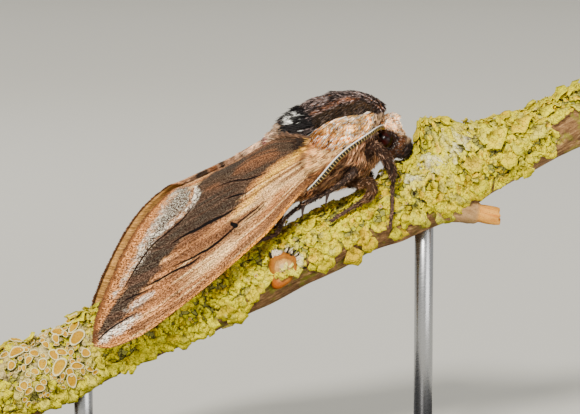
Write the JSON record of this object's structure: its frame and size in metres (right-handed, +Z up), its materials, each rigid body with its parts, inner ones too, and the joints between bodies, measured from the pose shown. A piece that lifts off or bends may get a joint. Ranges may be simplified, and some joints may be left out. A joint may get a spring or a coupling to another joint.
{
  "type": "privet hawk moth model on a branch perch",
  "caption": "Life-size hawk moth at rest, wings folded roof-like, gripping a slanted lichen-covered branch on a plain display stand.",
  "frame": {"origin": "centre of the base's underside, on the floor", "axes": "+Z up, +X along the branch towards its raised end and the moth's head, the moth's left towards +Y"},
  "size_m": [0.1027, 0.046, 0.0637],
  "materials": {
    "forewing_scales": "fine scales in pinkish grey-brown with dark streaks",
    "hindwing_scales": "fine scales, rose pink with dark bands",
    "abdomen_fur": "short fur, pink and black bands with a grey back stripe",
    "thorax_fur": "dense short dark brown fur, grey along the back",
    "head_fur": "dense short pale pinkish-white fur",
    "palp_fur": "short dark brown fur",
    "eye": "dark, glossy, finely faceted",
    "antenna": "white above, cream and dark brown teeth below",
    "leg_fur": "brown fur on the thick joints, bare dark feet",
    "bark": "grey-brown bark under yellow and grey-green leafy lichen",
    "stand_paint": "satin dark grey paint",
    "stand_steel": "brushed steel"
  },
  "bodies": {
    "root": {"forewing_right": "forewing_scales", "forewing_left": "forewing_scales", "hindwing_right": "hindwing_scales", "hindwing_left": "hindwing_scales", "abdomen": "abdomen_fur", "thorax": "thorax_fur", "head": "head_fur", "tegula_right": "head_fur", "tegula_left": "head_fur", "eye_right": "eye", "eye_left": "eye", "antenna_right": "antenna", "antenna_left": "antenna", "palp_right": "palp_fur", "palp_left": "palp_fur", "leg_fore_right": "leg_fur", "leg_fore_left": "leg_fur", "leg_mid_right": "leg_fur", "leg_mid_left": "leg_fur", "leg_hind_right": "leg_fur", "leg_hind_left": "leg_fur", "perch_branch": "bark", "stand_base": "stand_paint", "stand_rod_left": "stand_steel", "stand_rod_right": "stand_steel"}
  },
  "joints": []
}
